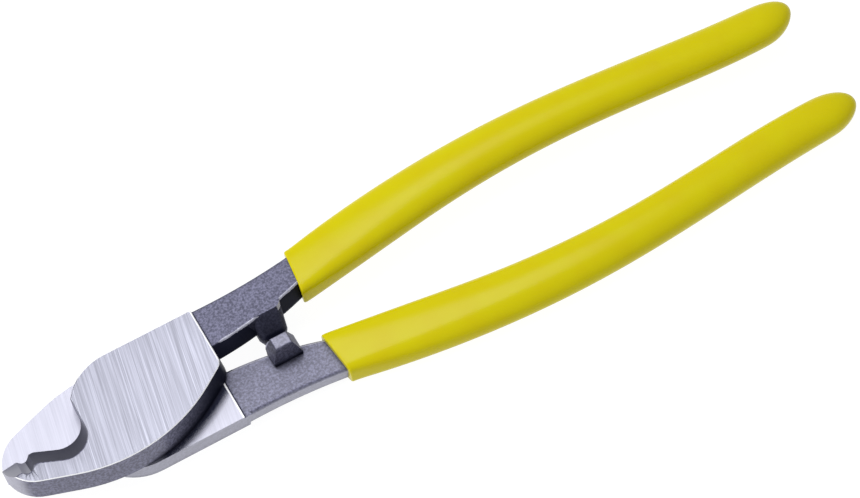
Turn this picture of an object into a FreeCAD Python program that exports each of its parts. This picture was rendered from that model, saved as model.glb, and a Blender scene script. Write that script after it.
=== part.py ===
import FreeCAD, Part
import math
import os
import re
import Sketcher
from FreeCAD import Placement, Rotation, Vector

# Hand cable cutter: two like forged halves lap-jointed on a flush rivet, each
# half one jaw, one shank and one tang, and a dipped grip over each tang.
# Frame: +X from the pivot to the handle ends, +Y to the moving handle, +Z up.
# The origin is on the pivot axis, in the plane that the back half lies on.
# Each half is drawn in its own frame: mating face at z = 0, outer face up, jaw
# towards -Y and handle towards +Y. The back half is the front one turned over.

SIZES = {
    # lap joint
    "half_thickness": 7.0,
    "mating_gap": 0.05,
    "hub_half_width": 16.8,
    "hub_end": 20.6,
    "forging_draft": 8.0,
    "mating_step": 18.5,
    "face_step": 0.5,
    "mating_relief": 0.6,
    "broken_edge": 0.2,
    # jaw
    "jaw_length": 43.5,
    "jaw_blank_top": 4.0,
    "nose_drop": 7.8,
    "nose_radius": 11.0,
    "belly_corner": 5.0,
    "belly_drop": 21.4,
    "belly_radius": 45.0,
    "heel_drop": 3.3,
    "heel_radius": 4.5,
    "shoulder_corner": 15.0,
    "shoulder_radius": 16.0,
    "shoulder_foot": 21.0,
    "shoulder_foot_rise": 7.5,
    # cutting profile, at the mating face
    "throat_wall": 19.3,
    "crescent_depth": 3.55,
    "crescent_radius": 6.4,
    "cusp": 34.1,
    "cusp_rise": 3.2,
    "notch_centre": 37.3,
    "notch_width": 3.7,
    "notch_floor": 0.9,
    "notch_radius": 1.5,
    "lip_rise": 2.8,
    "lip_slope": 0.12,
    "bevel_run": 7.6,
    # shank and tang: place along the tool, inner and outer edge
    "root_place": 17.0,
    "root_inner": 1.0,
    "root_outer": 16.8,
    "waist_place": 31.0,
    "waist_inner": 2.2,
    "waist_outer": 16.8,
    "neck_inner": 6.6,
    "neck_outer": 18.4,
    "inner_draft": 1.9,
    "outer_draft": 1.15,
    "shank_corner": 0.9,
    "tang_thickness": 4.6,
    "tang_swell_width": 10.0,
    "tang_bow_width": 8.4,
    "tang_end_cover": 19.8,
    "tang_end_width": 6.6,
    # stop lug
    "lug_start": 32.3,
    "lug_length": 8.4,
    "lug_inner": 0.1,
    "lug_depth": 7.4,
    "lug_land": 0.8,
    "lug_corner": 2.4,
    "lug_flare": 1.0,
    "lug_flare_inner": 5.0,
    "nose_foot_inner": 1.9,
    "nose_reach": 6.4,
    "nose_start": 1.7,
    "nose_length": 4.7,
    "nose_inner": 2.9,
    "nose_depth": 3.8,
    "nose_round": 0.5,
    # rivet
    "rivet_radius": 5.0,
    "rivet_head_radius": 7.0,
    "rivet_head_depth": 2.0,
    "rivet_clearance": 0.06,
    # grip: sideways centre, width and thickness at five even stations and the dome
    "grip_start": 48.5,
    "start_centre": 12.6,
    "start_width": 14.3,
    "start_thickness": 8.4,
    "swell_centre": 18.6,
    "swell_width": 16.1,
    "swell_thickness": 9.2,
    "bow_centre": 21.1,
    "bow_width": 14.4,
    "bow_thickness": 9.4,
    "taper_centre": 19.0,
    "taper_width": 13.4,
    "taper_thickness": 9.4,
    "dome_length": 11.8,
    "dome_centre": 16.3,
    "dome_width": 12.6,
    "dome_thickness": 9.2,
    "grip_end": 209.8,
    "grip_corner_share": 0.42,
}

# A rounded end falls away along a quarter ellipse, in these steps of its length.
DOME_STEPS = (0.35, 0.62, 0.82, 0.95)
GRIP_STATIONS = ("start", "swell", "bow", "taper", "dome")

# Heights of the ground outer face and of the forged shank in a half's own frame.
FACE = "(half_thickness - mating_gap / 2)"
SHANK_FACE = f"({FACE} - face_step)"


def station_place(station):
    share = GRIP_STATIONS.index(station) / (len(GRIP_STATIONS) - 1)
    return f"(grip_start + (grip_end - dome_length - grip_start) * {share})"


doc = FreeCAD.newDocument("cable_cutter")
sheet = doc.addObject("Spreadsheet::Sheet", "Sizes")
for row, (alias, value) in enumerate(SIZES.items(), 1):
    sheet.set(f"A{row}", alias)
    sheet.set(f"B{row}", str(value))
    sheet.setAlias(f"B{row}", alias)
probe = doc.addObject("App::FeaturePython", "Probe")
probe.addProperty("App::PropertyFloat", "Value")
doc.recompute()


def cells(formula):
    """Put the sheet's name before each size in a formula."""
    return re.sub(r"[a-z_]+", lambda m: "Sizes." + m[0] if m[0] in SIZES else m[0], formula)


def number(formula):
    """Work a formula of sizes out as a plain number."""
    probe.setExpression("Value", cells(formula))
    probe.recompute()
    return probe.Value


def new_body(label):
    body = doc.addObject("PartDesign::Body", label)
    body.Label = label
    return body


def new_sketch(body, label, plane="XY_Plane", offset="0"):
    """Attach a sketch to one of the body's own planes, raised by a formula."""
    sketch = body.newObject("Sketcher::SketchObject", label)
    origin = [item for item in body.Origin.OriginFeatures if item.Role == plane][0]
    sketch.AttachmentSupport = (origin, "")
    sketch.MapMode = "FlatFace"
    sketch.setExpression("AttachmentOffset.Base.z", cells(offset))
    return sketch


def new_feature(body, kind, label, **settings):
    feature = body.newObject("PartDesign::" + kind, label)
    for name, setting in settings.items():
        setattr(feature, name, setting)
    body.Tip = feature
    return feature


def nearer(point, one, other):
    return point.distanceToPoint(one) < point.distanceToPoint(other)


def outline(sketch, corners):
    """Draw a closed outline: each corner is x, y and the radius that rounds it."""
    points = [Vector(number(x), number(y), 0) for x, y, _ in corners]
    ends = []
    arcs = {}
    for i, (_, _, radius) in enumerate(corners):
        before = (points[i - 1] - points[i]).normalize()
        after = (points[(i + 1) % len(points)] - points[i]).normalize()
        if radius is None:
            ends.append((points[i], points[i]))
            continue
        half_angle = before.getAngle(after) / 2
        reach = number(radius) / math.tan(half_angle)
        ends.append((points[i] + before * reach, points[i] + after * reach))
        middle = (before + after).normalize()
        centre = points[i] + middle * (number(radius) / math.sin(half_angle))
        arcs[i] = Part.Arc(ends[i][0], centre - middle * number(radius), ends[i][1])
    lines = []
    for i in range(len(points)):
        j = (i + 1) % len(points)
        lines.append(sketch.addGeometry(Part.LineSegment(ends[i][1], ends[j][0])))
    for i, (x, y, radius) in enumerate(corners):
        came, left = lines[i - 1], lines[i]
        if radius is None:
            sketch.addConstraint(Sketcher.Constraint("Coincident", came, 2, left, 1))
            place(sketch, left, 1, x, y)
            continue
        corner = sketch.addGeometry(Part.Point(points[i]), True)
        place(sketch, corner, 1, x, y)
        sketch.addConstraint(Sketcher.Constraint("PointOnObject", corner, 1, came))
        sketch.addConstraint(Sketcher.Constraint("PointOnObject", corner, 1, left))
        arc = sketch.addGeometry(arcs[i])
        first = 1 if nearer(arcs[i].StartPoint, ends[i][0], ends[i][1]) else 2
        sketch.addConstraint(Sketcher.Constraint("Tangent", came, 2, arc, first))
        sketch.addConstraint(Sketcher.Constraint("Tangent", arc, 3 - first, left, 1))
        index = sketch.addConstraint(Sketcher.Constraint("Radius", arc, number(radius)))
        sketch.setExpression(f"Constraints[{index}]", cells(radius))


def place(sketch, geometry, end, x, y):
    """Hold a point of the sketch at formulas x and y from the origin."""
    for kind, formula in (("DistanceX", x), ("DistanceY", y)):
        index = sketch.addConstraint(
            Sketcher.Constraint(kind, -1, 1, geometry, end, number(formula)))
        sketch.setExpression(f"Constraints[{index}]", cells(formula))


def box_outline(sketch, start, end, inner, outer):
    outline(sketch, [(start, inner, None), (end, inner, None),
                     (end, outer, None), (start, outer, None)])


def add_jaw_and_hub(body):
    """Pad the blank with its forging draft, then cut the throat and the relief."""
    blank = new_sketch(body, "blank_outline")
    outline(blank, [
        ("-jaw_length", "jaw_blank_top", None),
        ("-jaw_length", "-nose_drop", "nose_radius"),
        ("-belly_corner", "-belly_drop", "belly_radius"),
        ("hub_end", "-heel_drop", "heel_radius"),
        ("hub_end", "hub_half_width", None),
        ("-shoulder_corner", "hub_half_width", "shoulder_radius"),
        ("-shoulder_foot", "shoulder_foot_rise", None),
        ("-shoulder_foot", "jaw_blank_top", None),
    ])
    pad = new_feature(body, "Pad", "blank", Profile=blank)
    pad.setExpression("Length", cells(FACE))
    pad.setExpression("TaperAngle", cells("-forging_draft"))


def shank_section(body, name, at):
    """Draw a section of the bare shank, with the forging draft on both edges."""
    sketch = new_sketch(body, name + "_section", "YZ_Plane", at)
    outline(sketch, [
        (name + "_inner", "mating_relief", "shank_corner"),
        (name + "_outer", "mating_relief", "shank_corner"),
        (f"{name}_outer - outer_draft", SHANK_FACE, "shank_corner"),
        (f"{name}_inner + inner_draft", SHANK_FACE, "shank_corner"),
    ])
    return sketch


def tang_section(body, name, at, station, width):
    """Draw a section of the tang, in the middle of the grip at that station."""
    sketch = new_sketch(body, name + "_section", "YZ_Plane", at)
    inner, outer = f"{station}_centre - {width} / 2", f"{station}_centre + {width} / 2"
    middle = f"({FACE} - {station}_thickness / 2)"
    foot, head = f"{middle} - tang_thickness / 2", f"{middle} + tang_thickness / 2"
    outline(sketch, [(inner, foot, "shank_corner"), (outer, foot, "shank_corner"),
                     (outer, head, "shank_corner"), (inner, head, "shank_corner")])
    return sketch


def add_shank(body):
    """Loft the bare shank smoothly, then the tang straight from section to section."""
    places = (("root", "root_place"), ("waist", "waist_place"), ("neck", "grip_start"))
    bare = [shank_section(body, name, at) for name, at in places]
    new_feature(body, "AdditiveLoft", "shank", Profile=bare[0], Sections=bare[1:])
    doc.recompute()
    tang = [
        tang_section(body, "tang_swell", station_place("swell"), "swell", "tang_swell_width"),
        tang_section(body, "tang_bow", station_place("bow"), "bow", "tang_bow_width"),
        tang_section(body, "tang_tip", "grip_end - tang_end_cover", "dome", "tang_end_width"),
    ]
    new_feature(body, "AdditiveLoft", "tang", Profile=bare[-1], Sections=tang, Ruled=True)


def edges_where(shape, wanted):
    """Name the edges whose end points pass a test."""
    return [f"Edge{i}" for i, edge in enumerate(shape.Edges, 1)
            if wanted([vertex.Point for vertex in edge.Vertexes])]


def lug_section(body, name, at, inset, inner, corner):
    """Draw a level section of the lug, its sides moved in from the root's by an inset."""
    sketch = new_sketch(body, name, offset=at)
    start, end = f"lug_start + {inset}", f"lug_start + lug_length - {inset}"
    outer = "lug_inner + lug_depth"
    outline(sketch, [(start, inner, corner), (end, inner, corner),
                     (end, outer, None), (start, outer, None)])
    return sketch


def add_lug(body):
    """Raise the stop lug: a land at the mating plane, flared up into the shank, and a nose."""
    land = lug_section(body, "lug_foot", "-lug_land", "0", "lug_inner", "lug_corner")
    pad = new_feature(body, "Pad", "lug_ridge", Profile=land)
    pad.setExpression("Length", cells("2 * lug_land"))
    foot = lug_section(body, "lug_top", "lug_land", "0", "lug_inner", "lug_corner")
    flare = lug_section(body, "lug_flare_edge", SHANK_FACE, "-lug_flare",
                        "lug_flare_inner", "lug_corner")
    new_feature(body, "AdditiveLoft", "lug_flare", Profile=foot, Sections=[flare], Ruled=True)
    root = lug_section(body, "nose_foot", "-lug_land", "0", "nose_foot_inner", None)
    tip = new_sketch(body, "nose_tip", offset="-nose_reach")
    box_outline(tip, "lug_start + nose_start", "lug_start + nose_start + nose_length",
                "nose_inner", "nose_inner + nose_depth")
    new_feature(body, "AdditiveLoft", "lug_nose", Profile=root, Sections=[tip], Ruled=True)


def round_nose(body):
    """Round the edges all round the tip of the lug's nose."""
    below = number("-lug_land") - 0.001
    edges = edges_where(body.Shape, lambda ends: max(end.z for end in ends) < below)
    rounding = new_feature(body, "Fillet", "nose_rounding", Base=(body.Tip, edges))
    rounding.setExpression("Radius", cells("nose_round"))


def cut_throat(body):
    """Cut the blade profile slantwise, which leaves the bevel behind the edge."""
    profile = new_sketch(body, "blade_profile")
    notch_left = "-(notch_centre + notch_width / 2)"
    far = "-(jaw_length + hub_half_width)"
    over = "(hub_half_width + bevel_run) * 1.5"
    outline(profile, [
        (far, f"lip_rise - lip_slope * ({notch_left} - {far})", None),
        (notch_left, "lip_rise", None),
        ("-notch_centre", "notch_floor", "notch_radius"),
        ("-(notch_centre - notch_width / 2)", "cusp_rise", None),
        ("-cusp", "cusp_rise", None),
        ("-throat_wall", "-crescent_depth", "crescent_radius"),
        ("-throat_wall", over, None),
        (far, over, None),
    ])
    pocket = new_feature(body, "Pocket", "throat", Profile=profile, Type="Length")
    pocket.UseCustomVector = True
    pocket.setExpression("Direction.x", "0")
    pocket.setExpression("Direction.y", cells("-bevel_run"))
    pocket.setExpression("Direction.z", cells(FACE))
    pocket.AlongSketchNormal = True
    pocket.setExpression("Length", cells(f"{FACE} + 1"))


def cut_relief(body):
    relief = new_sketch(body, "relief_outline")
    box_outline(relief, "mating_step", "waist_place", "-hub_half_width", "2 * hub_half_width")
    pocket = new_feature(body, "Pocket", "relief", Profile=relief, Reversed=True)
    pocket.setExpression("Length", cells("mating_relief"))


def rivet_profile(sketch, gap, foot, head):
    """Draw half of a flush rivet, or of its seat, from the axis outwards."""
    outline(sketch, [
        ("0", foot, None),
        (f"rivet_radius + {gap}", foot, None),
        (f"rivet_radius + {gap}", f"{head} - rivet_head_depth", None),
        (f"rivet_head_radius + {gap}", head, None),
        ("0", head, None),
    ])


def break_ground_edge(body):
    """Break the sharp edge all round the ground outer face."""
    face = number(FACE)
    edges = edges_where(body.Shape, lambda ends: all(abs(end.z - face) < 0.001 for end in ends))
    breaking = new_feature(body, "Chamfer", "broken_edge", Base=(body.Tip, edges))
    breaking.setExpression("Size", cells("broken_edge"))


def cut_rivet_seat(body, gap):
    seat = new_sketch(body, "rivet_seat", "XZ_Plane")
    rivet_profile(seat, gap, "0", FACE)
    groove = new_feature(body, "Groove", "rivet_bore", Profile=seat, ReferenceAxis=(seat, ["V_Axis"]))
    groove.Angle = 360
    return groove


def lay(piece, turned):
    """Set a piece on its side of the joint: front pieces as drawn, back ones turned over."""
    if turned:
        piece.Placement = Placement(Vector(0, 0, 0), Rotation(Vector(1, 0, 0), 180))
    side = "-" if turned else "+"
    piece.setExpression("Placement.Base.z", cells(f"half_thickness {side} mating_gap / 2"))


def make_half(label, turned, gap):
    body = new_body(label)
    add_jaw_and_hub(body)
    doc.recompute()
    add_shank(body)
    doc.recompute()
    add_lug(body)
    doc.recompute()
    round_nose(body)
    doc.recompute()
    cut_throat(body)
    cut_relief(body)
    doc.recompute()
    break_ground_edge(body)
    doc.recompute()
    cut_rivet_seat(body, gap)
    lay(body, turned)
    doc.recompute()
    return body


def make_rivet():
    body = new_body("pivot_rivet")
    profile = new_sketch(body, "rivet_profile", "XZ_Plane")
    outline(profile, [
        ("0", "-half_thickness", None),
        ("rivet_head_radius", "-half_thickness", None),
        ("rivet_radius", "rivet_head_depth - half_thickness", None),
        ("rivet_radius", "half_thickness - rivet_head_depth", None),
        ("rivet_head_radius", "half_thickness", None),
        ("0", "half_thickness", None),
    ])
    new_feature(body, "Revolution", "rivet", Profile=profile, ReferenceAxis=(profile, ["V_Axis"]))
    body.setExpression("Placement.Base.z", cells("half_thickness"))
    return body


def grip_section(body, name, at, station, share):
    """Draw a grip section, its top level with the half's outer face at full size."""
    sketch = new_sketch(body, name + "_section", "YZ_Plane", at)
    middle = f"({FACE} - {station}_thickness / 2)"
    side = f"({station}_width / 2 * {share})"
    rise = f"({station}_thickness / 2 * {share})"
    corner = f"{station}_thickness * grip_corner_share * {share}"
    west, east = f"{station}_centre - {side}", f"{station}_centre + {side}"
    foot, head = f"{middle} - {rise}", f"{middle} + {rise}"
    outline(sketch, [(west, foot, corner), (east, foot, corner),
                     (east, head, corner), (west, head, corner)])
    return sketch


def make_grip(label, turned, half):
    """Loft the dipped sleeve, close it with a dome and take the tang out of it."""
    body = new_body(label + "_sleeve")
    sections = [grip_section(body, name, station_place(name), name, "1")
                for name in GRIP_STATIONS]
    new_feature(body, "AdditiveLoft", "sleeve", Profile=sections[0], Sections=sections[1:])
    doc.recompute()
    dome = [grip_section(body, "dome_foot", station_place("dome"), "dome", "1")]
    for count, step in enumerate(DOME_STEPS, 1):
        at = f"grip_end - dome_length * (1 - {step})"
        share = f"sqrt(1 - {step} ^ 2)"
        dome.append(grip_section(body, f"dome_{count}", at, "dome", share))
    new_feature(body, "AdditiveLoft", "dome", Profile=dome[0], Sections=dome[1:])
    lay(body, turned)
    grip = doc.addObject("Part::Cut", label)
    grip.Label = label
    grip.Base = body
    grip.Tool = half
    doc.recompute()
    return grip


front_half = make_half("front_half", False, "rivet_clearance")
back_half = make_half("back_half", True, "0")
front_grip = make_grip("front_grip", False, front_half)
back_grip = make_grip("back_grip", True, back_half)
pieces = [front_half, back_half, make_rivet(), front_grip, back_grip]
doc.recompute()

for item in doc.Objects:
    if {"Invalid", "Error"} & set(item.State):
        raise RuntimeError(f"{item.Label} did not build: {item.State}")
for piece in pieces:
    if piece.Shape.isNull() or not piece.Shape.isValid():
        raise RuntimeError(f"{piece.Label} has no valid shape")

os.makedirs("parts", exist_ok=True)
for piece in pieces:
    box = piece.Shape.BoundBox
    print(f"{piece.Label}: {len(piece.Shape.Solids)} solid, {piece.Shape.Volume:.0f} mm3,"
          f" x {box.XMin:.2f} {box.XMax:.2f}, y {box.YMin:.2f} {box.YMax:.2f},"
          f" z {box.ZMin:.2f} {box.ZMax:.2f}")
    piece.Shape.exportStep(f"parts/{piece.Label}.step")
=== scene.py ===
"""Dresses the cable cutter: two forged halves on a flush rivet, each with a dipped grip."""

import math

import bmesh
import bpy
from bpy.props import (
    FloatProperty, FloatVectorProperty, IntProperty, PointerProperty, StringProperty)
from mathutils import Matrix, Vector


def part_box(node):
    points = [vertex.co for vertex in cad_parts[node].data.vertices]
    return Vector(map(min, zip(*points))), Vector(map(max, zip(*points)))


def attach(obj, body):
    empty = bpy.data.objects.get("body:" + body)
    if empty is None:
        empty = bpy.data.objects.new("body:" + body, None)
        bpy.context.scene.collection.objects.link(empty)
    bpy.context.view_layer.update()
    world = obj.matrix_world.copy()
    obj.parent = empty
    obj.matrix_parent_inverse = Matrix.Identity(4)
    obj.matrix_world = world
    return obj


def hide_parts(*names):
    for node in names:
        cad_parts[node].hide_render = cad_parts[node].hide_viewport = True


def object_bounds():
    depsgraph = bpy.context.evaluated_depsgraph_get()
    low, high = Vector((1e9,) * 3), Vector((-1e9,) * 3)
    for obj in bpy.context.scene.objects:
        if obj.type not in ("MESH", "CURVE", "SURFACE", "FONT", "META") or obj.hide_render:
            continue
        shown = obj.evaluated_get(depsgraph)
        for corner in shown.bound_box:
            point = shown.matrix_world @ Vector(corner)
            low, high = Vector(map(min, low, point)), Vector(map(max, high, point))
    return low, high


bl_info = {
    "name": "Cable Cutter",
    "version": (1, 0, 0),
    "blender": (4, 5, 0),
    "location": "3D View > Sidebar > Cutter",
    "description": "Forged and ground steel halves, flush rivet and dipped grips of a hand cable cutter",
    "category": "Object",
}

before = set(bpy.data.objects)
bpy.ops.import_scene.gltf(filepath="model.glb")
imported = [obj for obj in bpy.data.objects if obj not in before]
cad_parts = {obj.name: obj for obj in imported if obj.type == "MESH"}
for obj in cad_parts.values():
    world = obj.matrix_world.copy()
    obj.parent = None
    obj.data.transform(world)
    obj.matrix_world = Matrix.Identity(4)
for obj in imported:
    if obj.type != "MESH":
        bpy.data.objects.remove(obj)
CAD_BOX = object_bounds()

MM = 0.001
MERGE = 0.001 * MM              # points nearer than this are one point
FLAT = 0.999                    # a face this square to an axis counts as square to it
ON_PLANE = 0.05 * MM            # a face this near a plane lies in it
CRISP = math.radians(25)        # edges that turn more than this stay crisp

# How a face of a half was made; the numbers are its material slots.
# The last slot is a painted highlight: white, barely metallic faces on the broken corners and beside the
# step.
FORGED, GROUND, MILLED, HONED, HIGHLIGHT_EDGE = range(5)

# Each half: its CAD node, its body, the side its ground face looks to (+1 up, -1 down),
# how much scale its flats keep, and how much painted light brightens its outer walls (below 0 is
# brighter).
HALVES = (("front_half", "front_lever", 1, 0.0, -0.12),
          ("back_half", "back_lever", -1, -0.1, -0.5))

# Places along a half, from the pivot.
JAW_END = -38 * MM              # the jaw's blunt end lies before this
BLUNT_FADE = (-38.5 * MM, -41 * MM)     # the blunt end is bare at the first, bright at the second
TIP_BEVEL = -37 * MM            # cable strands rub the bevel before this
THROAT_END = -15 * MM           # the cutting edge ends here
HEEL_SHADOW_FADE = (-13 * MM, -4 * MM)         # no painted shadow before the first, all of it past the second
WALL_SHADE_FADE = (-2 * MM, 16 * MM)       # scale and painted shade start on the walls turned inward or towards the grips here, and are whole there
SHANK = 18 * MM                 # forged flats past this are the shank's
HIGHLIT_SHANK = 22 * MM            # the shank's rounded inner edges get a painted highlight past this
NOSE = 30 * MM                  # what reaches over the mating plane past this is the lug's nose
LUG = (31 * MM, 42 * MM)        # the lug's flanks
LUG_REACH = 9 * MM              # how far the lug's flanks are from the tool's axis at most

# Distances from a half's own edges and planes.
AT_STEP = 0.02 * MM             # a point this near the step to the shank is at its foot
NOSE_DROP = 0.1 * MM            # the nose lies past the mating plane by more than this
ROUNDED_DEPTH = 1 * MM             # the shank's rounded edges are this near its flat
# A broken corner: how far its face turns up, and how near the ground face it is.
CORNER_SLOPE, CORNER_DROP = (0.5, 0.9), 0.2 * MM

# How dark or pale a spot is painted: 1 is black, 0 is plain skin, below 0 is pale. The black is scale
# and painted shade; the pale is rubbing and painted highlights.
# The nose's walls get painted shade and its top a painted highlight.
NOSE_WALL_SHADE, NOSE_TOP_HIGHLIGHT = 0.38, -0.22
# The lug's flanks get painted shade.
LUG_FLANK_SHADE = 0.7
# A painted shadow at the foot of the step to the shank.
STEP_SHADOW = 1.0
BLUNT_TIP = -0.55
STRIPPING_TIP = -0.4
# A painted highlight on the shank's rounded inner edges.
PAINTED_EDGE_HIGHLIGHT = -0.5

# The bevel behind the cutting edge is cut along one slant, this far across on this depth.
BEVEL_RUN, BEVEL_DEPTH = 7.6 * MM, 6.975 * MM
BEVEL_START = 0.3 * MM          # it starts this far behind the jaw's tip
BEVEL_REACH = 6 * MM            # it is this far from the tool's axis at most, on its jaw's side

# The strips along the step to the shank: a painted highlight on the hub, a painted shadow on the shank.
HIGHLIGHT_STRIP, SHADOWED_STRIP = 0.45 * MM, 0.5 * MM

# Each grip: its CAD node, its body, its side of the tool's axis, how much later its coating
# starts than the node does, and how far its drip tip stands off across and up.
GRIPS = (("front_grip", "front_lever", 1, 0.2 * MM, (0.9 * MM, 0.5 * MM)),
         ("back_grip", "back_lever", -1, -0.7 * MM, (0.3 * MM, 0.5 * MM)))
RIVET_SIDES = 96                # points round the rivet
SLEEVE_SIDES = 28               # points round a sleeve
# Rings of the rounded lip: how far along and how much narrower, in lip radii.
LIP_RINGS = ((0.0, 1.2), (0.3, 0.4), (1.0, 0.0), (3.0, 0.0))
DOME_TURNS = (16, 33, 50, 66, 78, 86)   # rings of the domed end, in degrees round it

# Each lamp: its name, its place from the cutter's middle in metres, its size and its watts.
LAMPS = (("key_softbox", (-0.75, 0.25, 0.75), 0.5, 7.0),
         ("overhead_softbox", (0.05, 0.36, 0.96), 0.45, 3.3))


class CutterSteel(bpy.types.PropertyGroup):
    """Finishes of the forged halves and the rivet"""
    ground_colour: StringProperty(
        name="Ground steel", description="Colour of the surface-ground faces", default="#9A9BA7")
    milled_colour: StringProperty(
        name="Milled steel", description="Colour of the flat mating faces", default="#BEBECA")
    # A painted highlight: the broken corners stay white whatever light falls on them.
    edge_highlight_colour: StringProperty(
        name="Deburred edge", description="Colour of the broken corners round the ground faces",
        default="#FFFFFF")
    forged_colour: StringProperty(
        name="Forged steel", description="Colour of the tumbled forged skin", default="#78788E")
    # Also the black of painted shade in corners and on walls, and of the painted shadow round the hub.
    scale_and_shade_colour: StringProperty(
        name="Forge scale", description="Colour of the black scale left on the inner walls",
        default="#171A2E")
    # Also the colour of the painted highlights on rounded edges, the nose's top and the outer walls.
    rubbed_and_highlight_colour: StringProperty(
        name="Rubbed steel", description="Colour of the forged skin where handling rubs it bright",
        default="#D8D8E2")
    honed_colour: StringProperty(
        name="Honed steel", description="Colour of the bevel behind the cutting edge",
        default="#40414E")
    grind_angle: FloatProperty(
        name="Grinding direction", description="Direction of the grinding lines from the tool's axis",
        default=math.radians(80.5), subtype="ANGLE")
    grind_pitch: FloatProperty(
        name="Grinding line width", description="Width of one fine grinding line",
        default=0.25 * MM, unit="LENGTH")
    grind_band: FloatProperty(
        name="Grinding band width", description="Width of one broad band of the grinding wheel",
        default=1.6 * MM, unit="LENGTH")
    grain: FloatProperty(
        name="Tumbled grain", description="Size of the tumbled skin's grain",
        default=0.65 * MM, unit="LENGTH")
    seam: FloatProperty(
        name="Rivet seam", description="Gap left round the rivet's heads once they are ground over",
        default=0.01 * MM, unit="LENGTH")
    head_depth: FloatProperty(
        name="Rivet head depth", description="Depth of each countersunk rivet head",
        default=2 * MM, unit="LENGTH")


class CutterGrip(bpy.types.PropertyGroup):
    """Shape and finish of the dipped grips"""
    colour: StringProperty(
        name="Grip yellow", description="Colour of the dipped coating", default="#CBC400")
    deep_colour: StringProperty(
        name="Grip shade", description="Colour where the coating is thickest", default="#C8B600")
    wave: FloatProperty(
        name="Coating wave", description="Length of the slow waves that the dip leaves",
        default=9 * MM, unit="LENGTH")
    stations: IntProperty(
        name="Stations", description="Sections along the straight of a grip", default=15, min=4)
    dome_length: FloatProperty(
        name="Dome length", description="Length of the rounded closed end",
        default=11.2 * MM, unit="LENGTH")
    squareness: FloatVectorProperty(
        name="Squareness", description="Exponent of the section's outline at the open end and past "
        "the swell: 2 is an ellipse, more is a squarer section", default=(4.6, 2.3), size=2)
    mouth_slant: FloatProperty(
        name="Mouth slant", description="Slant of the open end, whose outer side starts later",
        default=math.radians(6.5), subtype="ANGLE")
    swell_share: FloatProperty(
        name="Swell", description="Share of the length by which the section has turned oval",
        default=0.3, subtype="FACTOR")
    lip: FloatProperty(
        name="Lip radius", description="Radius of the rounded lip at the open end",
        default=0.5 * MM, unit="LENGTH")


class CutterStage(bpy.types.PropertyGroup):
    """Floor, light and camera"""
    floor_colour: StringProperty(
        name="Floor", description="Colour of the lit studio floor", default="#FFFFFF")
    floor_glow: FloatProperty(
        name="Floor glow", description="How bright the floor is lit from below", default=0.95)
    floor_sheet: StringProperty(
        name="Floor sheet", description="Colour of the unlit sheet, which takes the shadows",
        default="#606060")
    floor_reach: FloatProperty(
        name="Floor reach", description="Distance from the pivot to the floor's sides",
        default=3.0, unit="LENGTH")
    room_colour: StringProperty(
        name="Room", description="Colour of the light from the room's walls", default="#F6F7FF")
    room_strength: FloatProperty(
        name="Room strength", description="Strength of the light from the room's walls",
        default=0.52)
    turn: FloatProperty(
        name="Camera turn", description="Turn of the camera about its upright",
        default=math.radians(5.73), subtype="ANGLE")
    tilt: FloatProperty(
        name="Camera tilt", description="Tilt of the camera from straight down",
        default=math.radians(31.43), subtype="ANGLE")
    roll: FloatProperty(
        name="Camera roll", description="Roll of the view on the table",
        default=math.radians(31.91), subtype="ANGLE")
    stand_off: FloatProperty(
        name="Camera distance", description="Distance from the pivot along the view",
        default=669.179 * MM, unit="LENGTH")
    offset: FloatVectorProperty(
        name="Pivot offset", description="How far left of and below the view's centre the pivot is",
        default=(72.78 * MM, 40.253 * MM), size=2, unit="LENGTH")
    focal_length: FloatProperty(
        name="Focal length", description="Focal length of the lens, in millimetres", default=106.1)


def linear(hexadecimal):
    """Turn an sRGB hex colour into linear RGBA."""
    parts = [int(hexadecimal[i:i + 2], 16) / 255 for i in (1, 3, 5)]
    return [c / 12.92 if c <= 0.04045 else ((c + 0.055) / 1.055) ** 2.4 for c in parts] + [1.0]


def darker(colour, share):
    """Darken a linear colour by a share of itself."""
    return [channel * (1 - share) for channel in colour[:3]] + [1.0]


def ramp(value, start, end):
    """Rise from 0 at the start to 1 at the end, and stay there."""
    return min(max((value - start) / (end - start), 0.0), 1.0)


def add_node(tree, kind, settings=None, inputs=None):
    """Add a node, set its properties, and fill or link its inputs by name or number."""
    node = tree.nodes.new("ShaderNode" + kind)
    for name, setting in (settings or {}).items():
        setattr(node, name, setting)
    for name, value in (inputs or {}).items():
        if isinstance(value, bpy.types.NodeSocket):
            tree.links.new(value, node.inputs[name])
        else:
            node.inputs[name].default_value = value
    return node


def new_material(name):
    """Start a material: its tree, its principled shader and its object coordinates."""
    material = bpy.data.materials.new(name)
    material.use_nodes = True
    tree = material.node_tree
    tree.nodes.clear()
    shader = add_node(tree, "BsdfPrincipled")
    add_node(tree, "OutputMaterial", inputs={"Surface": shader.outputs[0]})
    coordinates = add_node(tree, "TexCoord").outputs["Object"]
    return material, tree, shader, coordinates


def set_shader(tree, shader, colour, roughness, height, depth, constants):
    """Feed a shader its colour and roughness, a bump of real depth, and plain constants."""
    bump = add_node(tree, "Bump", inputs={"Height": height, "Distance": depth})
    tree.links.new(bump.outputs[0], shader.inputs["Normal"])
    tree.links.new(colour, shader.inputs["Base Color"])
    tree.links.new(roughness, shader.inputs["Roughness"])
    for name, value in constants.items():
        shader.inputs[name].default_value = value


def painted_corner_shade(tree, reach, unshaded, fully_shaded):
    """Paint shade where surfaces meet, from ambient occlusion: 1 in a tight corner, 0 in the open."""
    clear = add_node(tree, "AmbientOcclusion", {"samples": 8}, {"Distance": reach}).outputs["AO"]
    return add_node(tree, "MapRange", inputs={
        "Value": clear, "From Min": unshaded, "From Max": fully_shaded}).outputs[0]


def rubbed_and_highlight_share(tree):
    """Tell how far the steel is painted pale, by rubbing and by painted highlights: the attribute's
    negative side.
    """
    scale_and_painted_light = add_node(tree, "Attribute", {"attribute_name": "scale_and_painted_light"}).outputs["Fac"]
    return add_node(tree, "Math", {"operation": "MULTIPLY", "use_clamp": True}, {
        0: scale_and_painted_light, 1: -1.0}).outputs[0]


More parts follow.
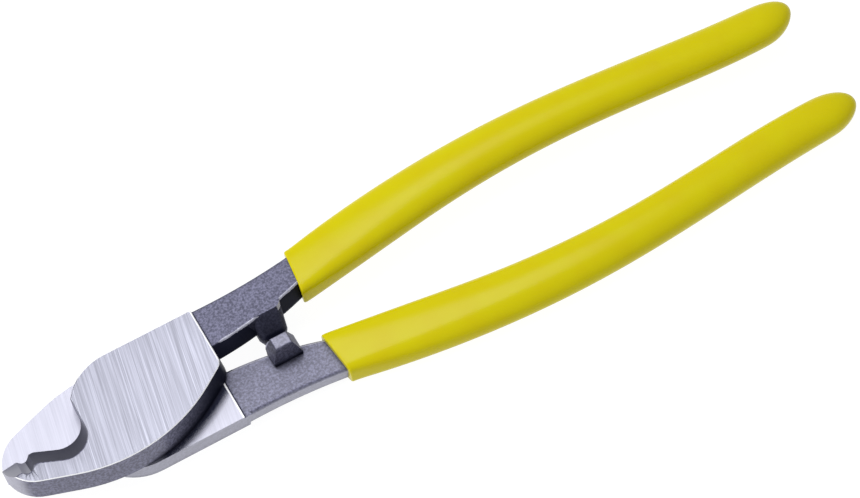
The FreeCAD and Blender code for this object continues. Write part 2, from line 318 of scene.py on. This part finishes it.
def ground_steel(name, colour, contrast, roughness, metallic=1.0, painted_shadow=False):
    """Surface-ground tool steel: the wheel leaves straight fine lines that streak the light.

    Real lines are near 0.05 mm wide; the line width here is coarser, so that they show.
    """
    steel = bpy.context.scene.cutter_steel
    material, tree, shader, coordinates = new_material(name)
    # The lines run along the turned Y; along them the pattern barely changes.
    turned = add_node(tree, "Mapping", {"vector_type": "TEXTURE"}, {
        "Vector": coordinates, "Rotation": (0, 0, steel.grind_angle - math.pi / 2)}).outputs[0]
    layers = []
    # Width and length of a streak: fine line, broad wheel band, score.
    for width, length in ((steel.grind_pitch, 22 * MM), (steel.grind_band, 120 * MM),
                          (2 * steel.grind_pitch, 45 * MM)):
        stretched = add_node(tree, "VectorMath", {"operation": "MULTIPLY"}, {
            0: turned, 1: (1 / width, 1 / length, 1 / length)}).outputs[0]
        layers.append(add_node(tree, "TexNoise", inputs={
            "Vector": stretched, "Scale": 1.0, "Detail": 1.0, "Roughness": 0.5}).outputs[0])
    lines, bands, scores = layers
    both = add_node(tree, "Math", {"operation": "MULTIPLY_ADD"}, {
        0: bands, 1: 0.25, 2: lines}).outputs[0]
    toned = add_node(tree, "MapRange", inputs={
        "Value": both, "From Min": 0.38, "From Max": 0.88, "To Max": 0.75}).outputs[0]
    # A few deeper scores catch the light as thin bright lines.
    bright = add_node(tree, "MapRange", inputs={
        "Value": scores, "From Min": 0.64, "From Max": 0.72, "To Max": 0.5}).outputs[0]
    tone = add_node(tree, "Math", {"operation": "ADD"}, {0: toned, 1: bright}).outputs[0]
    light = linear(colour)
    mixed = add_node(tree, "Mix", {"data_type": "RGBA"}, {
        0: tone, 6: darker(light, contrast), 7: light}).outputs[2]
    if painted_shadow:
        # Painted shadow: black laid by ambient occlusion beside the walls, round the hub only, faded out
        # towards the jaws.
        along = add_node(tree, "SeparateXYZ", inputs={0: coordinates}).outputs[0]
        hub = add_node(tree, "MapRange", inputs={
            "Value": along, "From Min": HEEL_SHADOW_FADE[0], "From Max": HEEL_SHADOW_FADE[1],
            "To Max": 0.97}).outputs[0]
        shadowed = add_node(tree, "Math", {"operation": "MULTIPLY"}, {
            0: hub, 1: painted_corner_shade(tree, reach=6 * MM, unshaded=0.88, fully_shaded=0.75)}).outputs[0]
        mixed = add_node(tree, "Mix", {"data_type": "RGBA"}, {
            0: shadowed, 6: mixed, 7: linear(steel.scale_and_shade_colour)}).outputs[2]
    rough = add_node(tree, "MapRange", inputs={
        "Value": lines, "To Min": roughness + 0.08, "To Max": roughness - 0.08}).outputs[0]
    set_shader(tree, shader, mixed, rough, lines, 0.004 * MM, {"Metallic": metallic})
    return material


def forged_steel():
    """Drop-forged, tumbled steel: a dull grey peppered with pits, black where scale is left and where
    shade is painted, pale where it is rubbed and where highlights are painted.

    Real grain is near 0.2 mm; the grain here is coarser, so that it shows.
    """
    steel = bpy.context.scene.cutter_steel
    material, tree, shader, coordinates = new_material("forged_tumbled_steel")
    fine = add_node(tree, "TexNoise", inputs={
        "Vector": coordinates, "Scale": 1 / steel.grain, "Detail": 3.0, "Roughness": 0.65}).outputs[0]
    speckle = add_node(tree, "MapRange", inputs={
        "Value": fine, "From Min": 0.4, "From Max": 0.62}).outputs[0]
    skin = linear(steel.forged_colour)
    peppered = add_node(tree, "Mix", {"data_type": "RGBA"}, {
        0: speckle, 6: darker(skin, 0.5), 7: skin}).outputs[2]
    # Below 0 the attribute paints the skin pale: rubbing and painted highlights.
    rubbed_and_highlit = add_node(tree, "Mix", {"data_type": "RGBA"}, {
        0: rubbed_and_highlight_share(tree), 6: peppered, 7: linear(steel.rubbed_and_highlight_colour)}).outputs[2]
    # Scale stays in broad patches, about fourteen grains wide; painted shade from ambient occlusion
    # darkens the corners.
    broad = add_node(tree, "TexNoise", inputs={
        "Vector": coordinates, "Scale": 1 / (14 * steel.grain), "Detail": 2.0}).outputs[0]
    patchy = add_node(tree, "Math", {"operation": "MULTIPLY_ADD"}, {
        0: broad, 1: 0.25, 2: -0.125}).outputs[0]
    corners = add_node(tree, "Math", {"operation": "MULTIPLY_ADD"}, {
        0: painted_corner_shade(tree, reach=3.5 * MM, unshaded=0.88, fully_shaded=0.62), 1: 0.6, 2: patchy}).outputs[0]
    # Above 0 the attribute paints black: scale and painted shade.
    painted_light_and_scale = add_node(tree, "Attribute", {"attribute_name": "scale_and_painted_light"}).outputs["Fac"]
    amount = add_node(tree, "Math", {"operation": "ADD", "use_clamp": True}, {
        0: painted_light_and_scale, 1: corners}).outputs[0]
    mixed = add_node(tree, "Mix", {"data_type": "RGBA"}, {
        0: amount, 6: rubbed_and_highlit, 7: linear(steel.scale_and_shade_colour)}).outputs[2]
    rough = add_node(tree, "MapRange", inputs={
        "Value": fine, "To Min": 0.62, "To Max": 0.46}).outputs[0]
    set_shader(tree, shader, mixed, rough, fine, 0.03 * MM, {"Metallic": 0.8})
    return material


def honed_steel():
    """Ground and honed bevel: smooth dark steel, paler at the tip where strands rub it."""
    steel = bpy.context.scene.cutter_steel
    material, tree, shader, coordinates = new_material("honed_bevel_steel")
    noise = add_node(tree, "TexNoise", inputs={
        "Vector": coordinates, "Scale": 1 / steel.grind_pitch, "Detail": 2.0}).outputs[0]
    colour = linear(steel.honed_colour)
    toned = add_node(tree, "Mix", {"data_type": "RGBA"}, {
        0: noise, 6: darker(colour, 0.2), 7: colour}).outputs[2]
    mixed = add_node(tree, "Mix", {"data_type": "RGBA"}, {
        0: rubbed_and_highlight_share(tree), 6: toned, 7: linear(steel.rubbed_and_highlight_colour)}).outputs[2]
    rough = add_node(tree, "MapRange", inputs={
        "Value": noise, "To Min": 0.5, "To Max": 0.42}).outputs[0]
    set_shader(tree, shader, mixed, rough, noise, 0.003 * MM, {"Metallic": 0.9})
    return material


def dipped_vinyl():
    """Hot-dipped PVC: glossy yellow with slow waves and a deeper tone where it runs thick."""
    grip = bpy.context.scene.cutter_grip
    material, tree, shader, coordinates = new_material("hot_dipped_vinyl")
    waves = add_node(tree, "TexNoise", inputs={
        "Vector": coordinates, "Scale": 1 / grip.wave, "Detail": 2.0}).outputs[0]
    mixed = add_node(tree, "Mix", {"data_type": "RGBA"}, {
        0: waves, 6: linear(grip.colour), 7: linear(grip.deep_colour)}).outputs[2]
    rough = add_node(tree, "MapRange", inputs={
        "Value": waves, "To Min": 0.2, "To Max": 0.25}).outputs[0]
    set_shader(tree, shader, mixed, rough, waves, 0.05 * MM,
               {"IOR": 1.5, "Specular IOR Level": 0.15})
    return material


def finish_piece(name, bm, materials, nodes, body):
    """Turn a bmesh into a finished piece that stands for CAD nodes and rides their body."""
    mesh = bpy.data.meshes.new(name)
    bm.to_mesh(mesh)
    bm.free()
    piece = bpy.data.objects.new(name, mesh)
    bpy.context.scene.collection.objects.link(piece)
    for material in materials:
        mesh.materials.append(material)
    mesh.shade_smooth()
    # The CAD's own normals no longer fit once its mesh is cut.
    if mesh.has_custom_normals:
        mesh.attributes.remove(mesh.attributes["custom_normal"])
    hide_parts(*nodes)
    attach(piece, body)
    return piece


def merged_copy(node):
    """Copy a CAD node's mesh with its loose triangles joined up."""
    bm = bmesh.new()
    bm.from_mesh(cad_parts[node].data)
    bmesh.ops.remove_doubles(bm, verts=bm.verts, dist=MERGE)
    return bm


def cut_across(bm, place):
    """Cut a mesh across at a place along the tool, and return what the cut made."""
    return bmesh.ops.bisect_plane(
        bm, geom=bm.verts[:] + bm.edges[:] + bm.faces[:], dist=MERGE,
        plane_co=(place, 0, 0), plane_no=(1, 0, 0))["geom_cut"]


def on_bevel(face, side, jaw_tip):
    """Tell whether a face is of the bevel: all of the bevel holds its slant's direction."""
    centre, normal = face.calc_center_median(), face.normal
    slant = Vector((0, -BEVEL_RUN * side, BEVEL_DEPTH * side)).normalized()
    in_throat = (jaw_tip + BEVEL_START < centre.x < THROAT_END
                 and centre.y * side > -BEVEL_REACH)
    return in_throat and abs(normal.dot(slant)) < 0.03 and abs(normal.z) > 0.02


def surface_of(face, side, ground_z, mating_z, jaw_tip):
    """Tell how a face of a half was made, from where it is and where it looks."""
    centre = face.calc_center_median()
    up = face.normal.z * side
    if up > FLAT and abs(centre.z - ground_z) < ON_PLANE:
        return GROUND
    if up < -FLAT and abs(centre.z - mating_z) < ON_PLANE:
        return MILLED
    if CORNER_SLOPE[0] < up < CORNER_SLOPE[1] and abs(centre.z - ground_z) < CORNER_DROP:
        # The broken corner gets the painted highlight round the hub and outside the jaw, not at the
        # edge's back.
        deburred = centre.x > THROAT_END or face.normal.y * side < -0.2
        return HIGHLIGHT_EDGE if deburred else GROUND
    return HONED if on_bevel(face, side, jaw_tip) else FORGED


def mark_step(bm, up):
    """Cut strips along the step to the shank on one side, and return the step's X and Z."""
    corners = [vert.co.copy() for face in bm.faces for vert in face.verts
               if face.normal.z * up > FLAT and face.material_index == FORGED
               and face.calc_center_median().x > SHANK]
    step = min(corners, key=lambda corner: corner.x)
    cut_across(bm, step.x - HIGHLIGHT_STRIP)
    cut_across(bm, step.x + SHADOWED_STRIP)
    for face in bm.faces:
        beside = step.x - HIGHLIGHT_STRIP < face.calc_center_median().x < step.x
        # The strip on the hub's side of the step gets the painted highlight.
        if beside and face.normal.z * up > FLAT:
            face.material_index = HIGHLIGHT_EDGE
    return step.x, step.z


def scale_and_painted_light_at(face, point, side, mating_z, steps, flat, wall_light):
    """Tell how dark or pale a point is painted: 1 is black, from scale and painted shade; below 0 is
    pale, from rubbing and painted highlights.
    """
    centre, normal = face.calc_center_median(), face.normal
    steep = 1 - abs(normal.z)
    if face.material_index == HONED:
        return STRIPPING_TIP if centre.x < TIP_BEVEL else 0.0
    # The lug's nose: painted shade on its walls, a painted highlight on its top.
    if centre.x > NOSE and (centre.z - mating_z) * side < -NOSE_DROP:
        return NOSE_WALL_SHADE * min(steep * 1.5, 1.0) + NOSE_TOP_HIGHLIGHT * (1 - steep)
    if point.x < JAW_END and normal.x < -0.3 and steep > 0.5:
        return BLUNT_TIP * ramp(point.x, *BLUNT_FADE)
    step, level = steps[1 if normal.z > 0 else -1]
    if abs(normal.z) > FLAT:
        # Painted shadow: black at the step's foot on the shank's flat, fading across the strip.
        at_foot = abs(point.x - step) < AT_STEP and centre.x > step
        return STEP_SHADOW if at_foot else flat
    inward = -normal.y * side
    rounded = 0.1 < inward < 0.75 and abs(centre.z - level) < ROUNDED_DEPTH
    # Painted highlight on the shank's rounded inner edges.
    if centre.x > HIGHLIT_SHANK and rounded:
        return PAINTED_EDGE_HIGHLIGHT
    # Painted shade on the lug's flanks.
    if LUG[0] < centre.x < LUG[1] and abs(centre.y) < LUG_REACH:
        return LUG_FLANK_SHADE
    # Black scale and painted shade on walls turned inward or towards the grips; the other walls take the
    # half's painted wall light.
    scale_and_shade = ramp(max(inward, normal.x), 0.2, 0.7) * ramp(point.x, *WALL_SHADE_FADE)
    return scale_and_shade if scale_and_shade > 0 else wall_light * steep


class CUTTER_OT_halves(bpy.types.Operator):
    """Copies each forged half, gives every surface the finish it was made with, and paints shade and
    highlights onto it
    """
    bl_idname = "cutter.halves"
    bl_label = "Forged halves"

    def execute(self, context):
        steel = context.scene.cutter_steel
        ground = ground_steel("surface_ground_steel", steel.ground_colour,
                              contrast=0.32, roughness=0.38)
        # The mating faces are milled: paler, with hardly a line, and a painted shadow in the corners
        # round the hub.
        milled = ground_steel("milled_mating_steel", steel.milled_colour,
                              contrast=0.08, roughness=0.5, painted_shadow=True)
        # Painted highlight: the broken corners are white and barely a mirror, so they shine from every
        # side.
        edge = ground_steel("painted_highlight_edge", steel.edge_highlight_colour,
                            contrast=0.05, roughness=0.5, metallic=0.3)
        finishes = [forged_steel(), ground, milled, honed_steel(), edge]
        pivot_low, pivot_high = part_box("pivot_rivet")
        mating_z = (pivot_low.z + pivot_high.z) / 2
        for node, body, side, flat, wall_light in HALVES:
            low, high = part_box(node)
            ground_z = high.z if side > 0 else low.z
            bm = merged_copy(node)
            scale_and_painted_light = bm.loops.layers.float.new("scale_and_painted_light")
            for face in bm.faces:
                face.material_index = surface_of(face, side, ground_z, mating_z, low.x)
            steps = {up: mark_step(bm, up) for up in (1, -1)}
            for face in bm.faces:
                for loop in face.loops:
                    loop[scale_and_painted_light] = scale_and_painted_light_at(
                        face, loop.vert.co, side, mating_z, steps, flat, wall_light)
            piece = finish_piece(node + "_finished", bm, finishes, [node], body)
            piece.data.set_sharp_from_angle(angle=CRISP)
            weighted = piece.modifiers.new("face_weighted_normals", "WEIGHTED_NORMAL")
            weighted.keep_sharp = True
        return {"FINISHED"}


class CUTTER_OT_rivet(bpy.types.Operator):
    """Spins the flush rivet, its two countersunk heads ground over with the faces round them"""
    bl_idname = "cutter.rivet"
    bl_label = "Flush rivet"

    def execute(self, context):
        steel = context.scene.cutter_steel
        low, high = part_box("pivot_rivet")
        hub = merged_copy("front_half")
        # The seat's mouth is the ring of hub points on the ground face nearest the axis.
        mouth = min(Vector(vert.co.xy).length for vert in hub.verts if high.z - vert.co.z < MERGE)
        hub.free()
        head = mouth - steel.seam
        shank = head - steel.head_depth        # the countersinks slope at 45 degrees
        outline = ((0, low.z), (head, low.z), (shank, low.z + steel.head_depth),
                   (shank, high.z - steel.head_depth), (head, high.z), (0, high.z))
        bm = bmesh.new()
        line = [bm.verts.new((radius, 0, height)) for radius, height in outline]
        edges = [bm.edges.new(pair) for pair in zip(line, line[1:])]
        bmesh.ops.spin(bm, geom=line + edges, axis=(0, 0, 1), cent=(0, 0, 0), angle=math.tau,
                       steps=RIVET_SIDES, use_merge=True)
        bmesh.ops.remove_doubles(bm, verts=bm.verts, dist=MERGE)
        bmesh.ops.recalc_face_normals(bm, faces=bm.faces)
        ground = bpy.data.materials["surface_ground_steel"]
        piece = finish_piece("flush_rivet", bm, [ground], ["pivot_rivet"], "back_lever")
        piece.data.set_sharp_from_angle(angle=CRISP)
        return {"FINISHED"}


def section_of(bm, place):
    """Return the centre and the size, across and up, of a CAD sleeve's section at a place."""
    points = [item.co for item in cut_across(bm, place) if isinstance(item, bmesh.types.BMVert)]
    low = Vector((min(p.y for p in points), min(p.z for p in points)))
    high = Vector((max(p.y for p in points), max(p.z for p in points)))
    return (low + high) / 2, high - low


def shape_section(face, place, centre, size, squareness):
    """Set the vertices of a section face round a superellipse, one even turn after another."""
    for number, vert in enumerate(face.verts):
        turn = math.tau * (number + 0.5) / len(face.verts)
        across, up = math.cos(turn), math.sin(turn)
        across = math.copysign(abs(across) ** (2 / squareness), across)
        up = math.copysign(abs(up) ** (2 / squareness), up)
        vert.co = (place, centre[0] + across * size[0] / 2, centre[1] + up * size[1] / 2)


def extend_sleeve(bm, face, place, centre, size, squareness):
    """Extrude the sleeve's end face to a place and shape its section there."""
    made = bmesh.ops.extrude_discrete_faces(bm, faces=[face])["faces"][0]
    shape_section(made, place, centre, size, squareness)
    return made


class CUTTER_OT_grips(bpy.types.Operator):
    """Models each dipped grip: rounded lip, bowed sleeve and domed end with a drip tip"""
    bl_idname = "cutter.grips"
    bl_label = "Dipped grips"

    def execute(self, context):
        grip = context.scene.cutter_grip
        vinyl = dipped_vinyl()
        square, oval = grip.squareness
        for node, body, outward, later, tip in GRIPS:
            low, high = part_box(node)
            sleeve = merged_copy(node)
            start, dome_start = low.x, high.x - grip.dome_length
            centre, size = section_of(sleeve, start + 2 * MERGE)
            bm = bmesh.new()
            bmesh.ops.create_circle(bm, cap_ends=True, segments=SLEEVE_SIDES, radius=size[0] / 2)
            face = bm.faces[:][0]
            shape_section(face, start, centre, size - Vector((2, 2)) * grip.lip, square)
            for along, inset in LIP_RINGS:
                face = extend_sleeve(bm, face, start + along * grip.lip, centre,
                                     size - Vector((inset, inset)) * grip.lip, square)
            # The open end is square to the tang, so its rings slant, along the tang's course.
            reach = 4 * grip.lip
            course = (section_of(sleeve, start + reach)[0][0] - centre[0]) / reach
            for vert in bm.verts:
                shift = later + (vert.co.y - centre[0]) * outward * math.tan(grip.mouth_slant)
                vert.co.x += shift
                vert.co.y += shift * course
            for station in range(1, grip.stations + 1):
                share = station / grip.stations
                place = start + (dome_start - start) * share
                centre, size = section_of(sleeve, place)
                turned = min(share / grip.swell_share, 1.0)
                squareness = square * (oval / square) ** math.sqrt(turned)
                face = extend_sleeve(bm, face, place, centre, size, squareness)
            for degrees in DOME_TURNS:
                turn = math.radians(degrees)
                step = math.sin(turn) / math.sin(math.radians(DOME_TURNS[-1]))
                face = extend_sleeve(bm, face, dome_start + grip.dome_length * step,
                                     centre + Vector(tip) * step ** 2, size * math.cos(turn), oval)
            bmesh.ops.holes_fill(bm, edges=bm.edges)
            bmesh.ops.recalc_face_normals(bm, faces=bm.faces)
            sleeve.free()
            piece = finish_piece(node + "_sleeve", bm, [vinyl], [node], body)
            smooth = piece.modifiers.new("subdivision", "SUBSURF")
            smooth.levels = 2
            smooth.render_levels = 2
        return {"FINISHED"}


class CUTTER_OT_stage(bpy.types.Operator):
    """Sets the pale floor, the soft light and the camera"""
    bl_idname = "cutter.stage"
    bl_label = "Stage"

    def execute(self, context):
        scene, stage = context.scene, context.scene.cutter_stage
        low, high = Vector(CAD_BOX[0]), Vector(CAD_BOX[1])
        upright = (Matrix.Rotation(-stage.roll, 3, "Z") @ Matrix.Rotation(stage.tilt, 3, "X")
                   @ Matrix.Rotation(stage.turn, 3, "Y"))
        pivot = Vector((0, 0, high.z / 2))
        place = pivot + upright @ Vector((*stage.offset, stage.stand_off))
        camera = bpy.data.objects.new("camera", bpy.data.cameras.new("camera"))
        camera.data.lens = stage.focal_length
        camera.matrix_world = Matrix.LocRotScale(place, upright, None)
        scene.collection.objects.link(camera)
        bpy.context.scene.camera = camera

        bm = bmesh.new()
        bmesh.ops.create_grid(bm, x_segments=1, y_segments=1, size=stage.floor_reach)
        mesh = bpy.data.meshes.new("floor")
        bm.to_mesh(mesh)
        bm.free()
        floor = bpy.data.objects.new("floor", mesh)
        scene.collection.objects.link(floor)
        # Translucent acrylic sheet lit from below: an even matt white that hardly shows shadows.
        material, _, shader, _ = new_material("lit_matt_acrylic")
        for name, value in (("Base Color", linear(stage.floor_sheet)), ("Roughness", 0.9),
                            ("Specular IOR Level", 0.1),
                            ("Emission Color", linear(stage.floor_colour)),
                            ("Emission Strength", stage.floor_glow)):
            shader.inputs[name].default_value = value
        mesh.materials.append(material)

        middle = (low + high) / 2
        for name, place, width, power in LAMPS:
            lamp = bpy.data.lights.new(name, "AREA")
            lamp.size = width
            lamp.energy = power
            light = bpy.data.objects.new(name, lamp)
            light.location = middle + Vector(place)
            light.rotation_euler = (light.location - middle).to_track_quat("Z", "Y").to_euler()
            scene.collection.objects.link(light)
        world = bpy.data.worlds.new("studio")
        world.use_nodes = True
        background = world.node_tree.nodes["Background"]
        background.inputs["Color"].default_value = linear(stage.room_colour)
        background.inputs["Strength"].default_value = stage.room_strength
        scene.world = world
        scene.view_settings.view_transform = "Standard"
        return {"FINISHED"}


class CUTTER_PT_panel(bpy.types.Panel):
    """Lists the cutter's pieces in the order they are made"""
    bl_idname = "CUTTER_PT_panel"
    bl_label = "Cable Cutter"
    bl_space_type = "VIEW_3D"
    bl_region_type = "UI"
    bl_category = "Cutter"

    def draw(self, context):
        for operator in OPERATORS:
            self.layout.operator(operator.bl_idname)
        for group in SETTINGS:
            settings = getattr(context.scene, group)
            for name in settings.__annotations__:
                self.layout.prop(settings, name)


SETTINGS = {"cutter_steel": CutterSteel, "cutter_grip": CutterGrip, "cutter_stage": CutterStage}
OPERATORS = (CUTTER_OT_halves, CUTTER_OT_rivet, CUTTER_OT_grips, CUTTER_OT_stage)


def register():
    """Register the settings, the operators and the panel."""
    for cls in (*SETTINGS.values(), *OPERATORS, CUTTER_PT_panel):
        bpy.utils.register_class(cls)
    for name, cls in SETTINGS.items():
        setattr(bpy.types.Scene, name, PointerProperty(type=cls))


def unregister():
    """Take the panel, the operators and the settings off again."""
    for name in SETTINGS:
        delattr(bpy.types.Scene, name)
    for cls in (CUTTER_PT_panel, *reversed(OPERATORS), *reversed(SETTINGS.values())):
        bpy.utils.unregister_class(cls)


def main():
    """Register everything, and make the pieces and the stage."""
    register()
    bpy.ops.cutter.halves()
    bpy.ops.cutter.rivet()
    bpy.ops.cutter.grips()
    bpy.ops.cutter.stage()


if __name__ == "__main__":
    main()
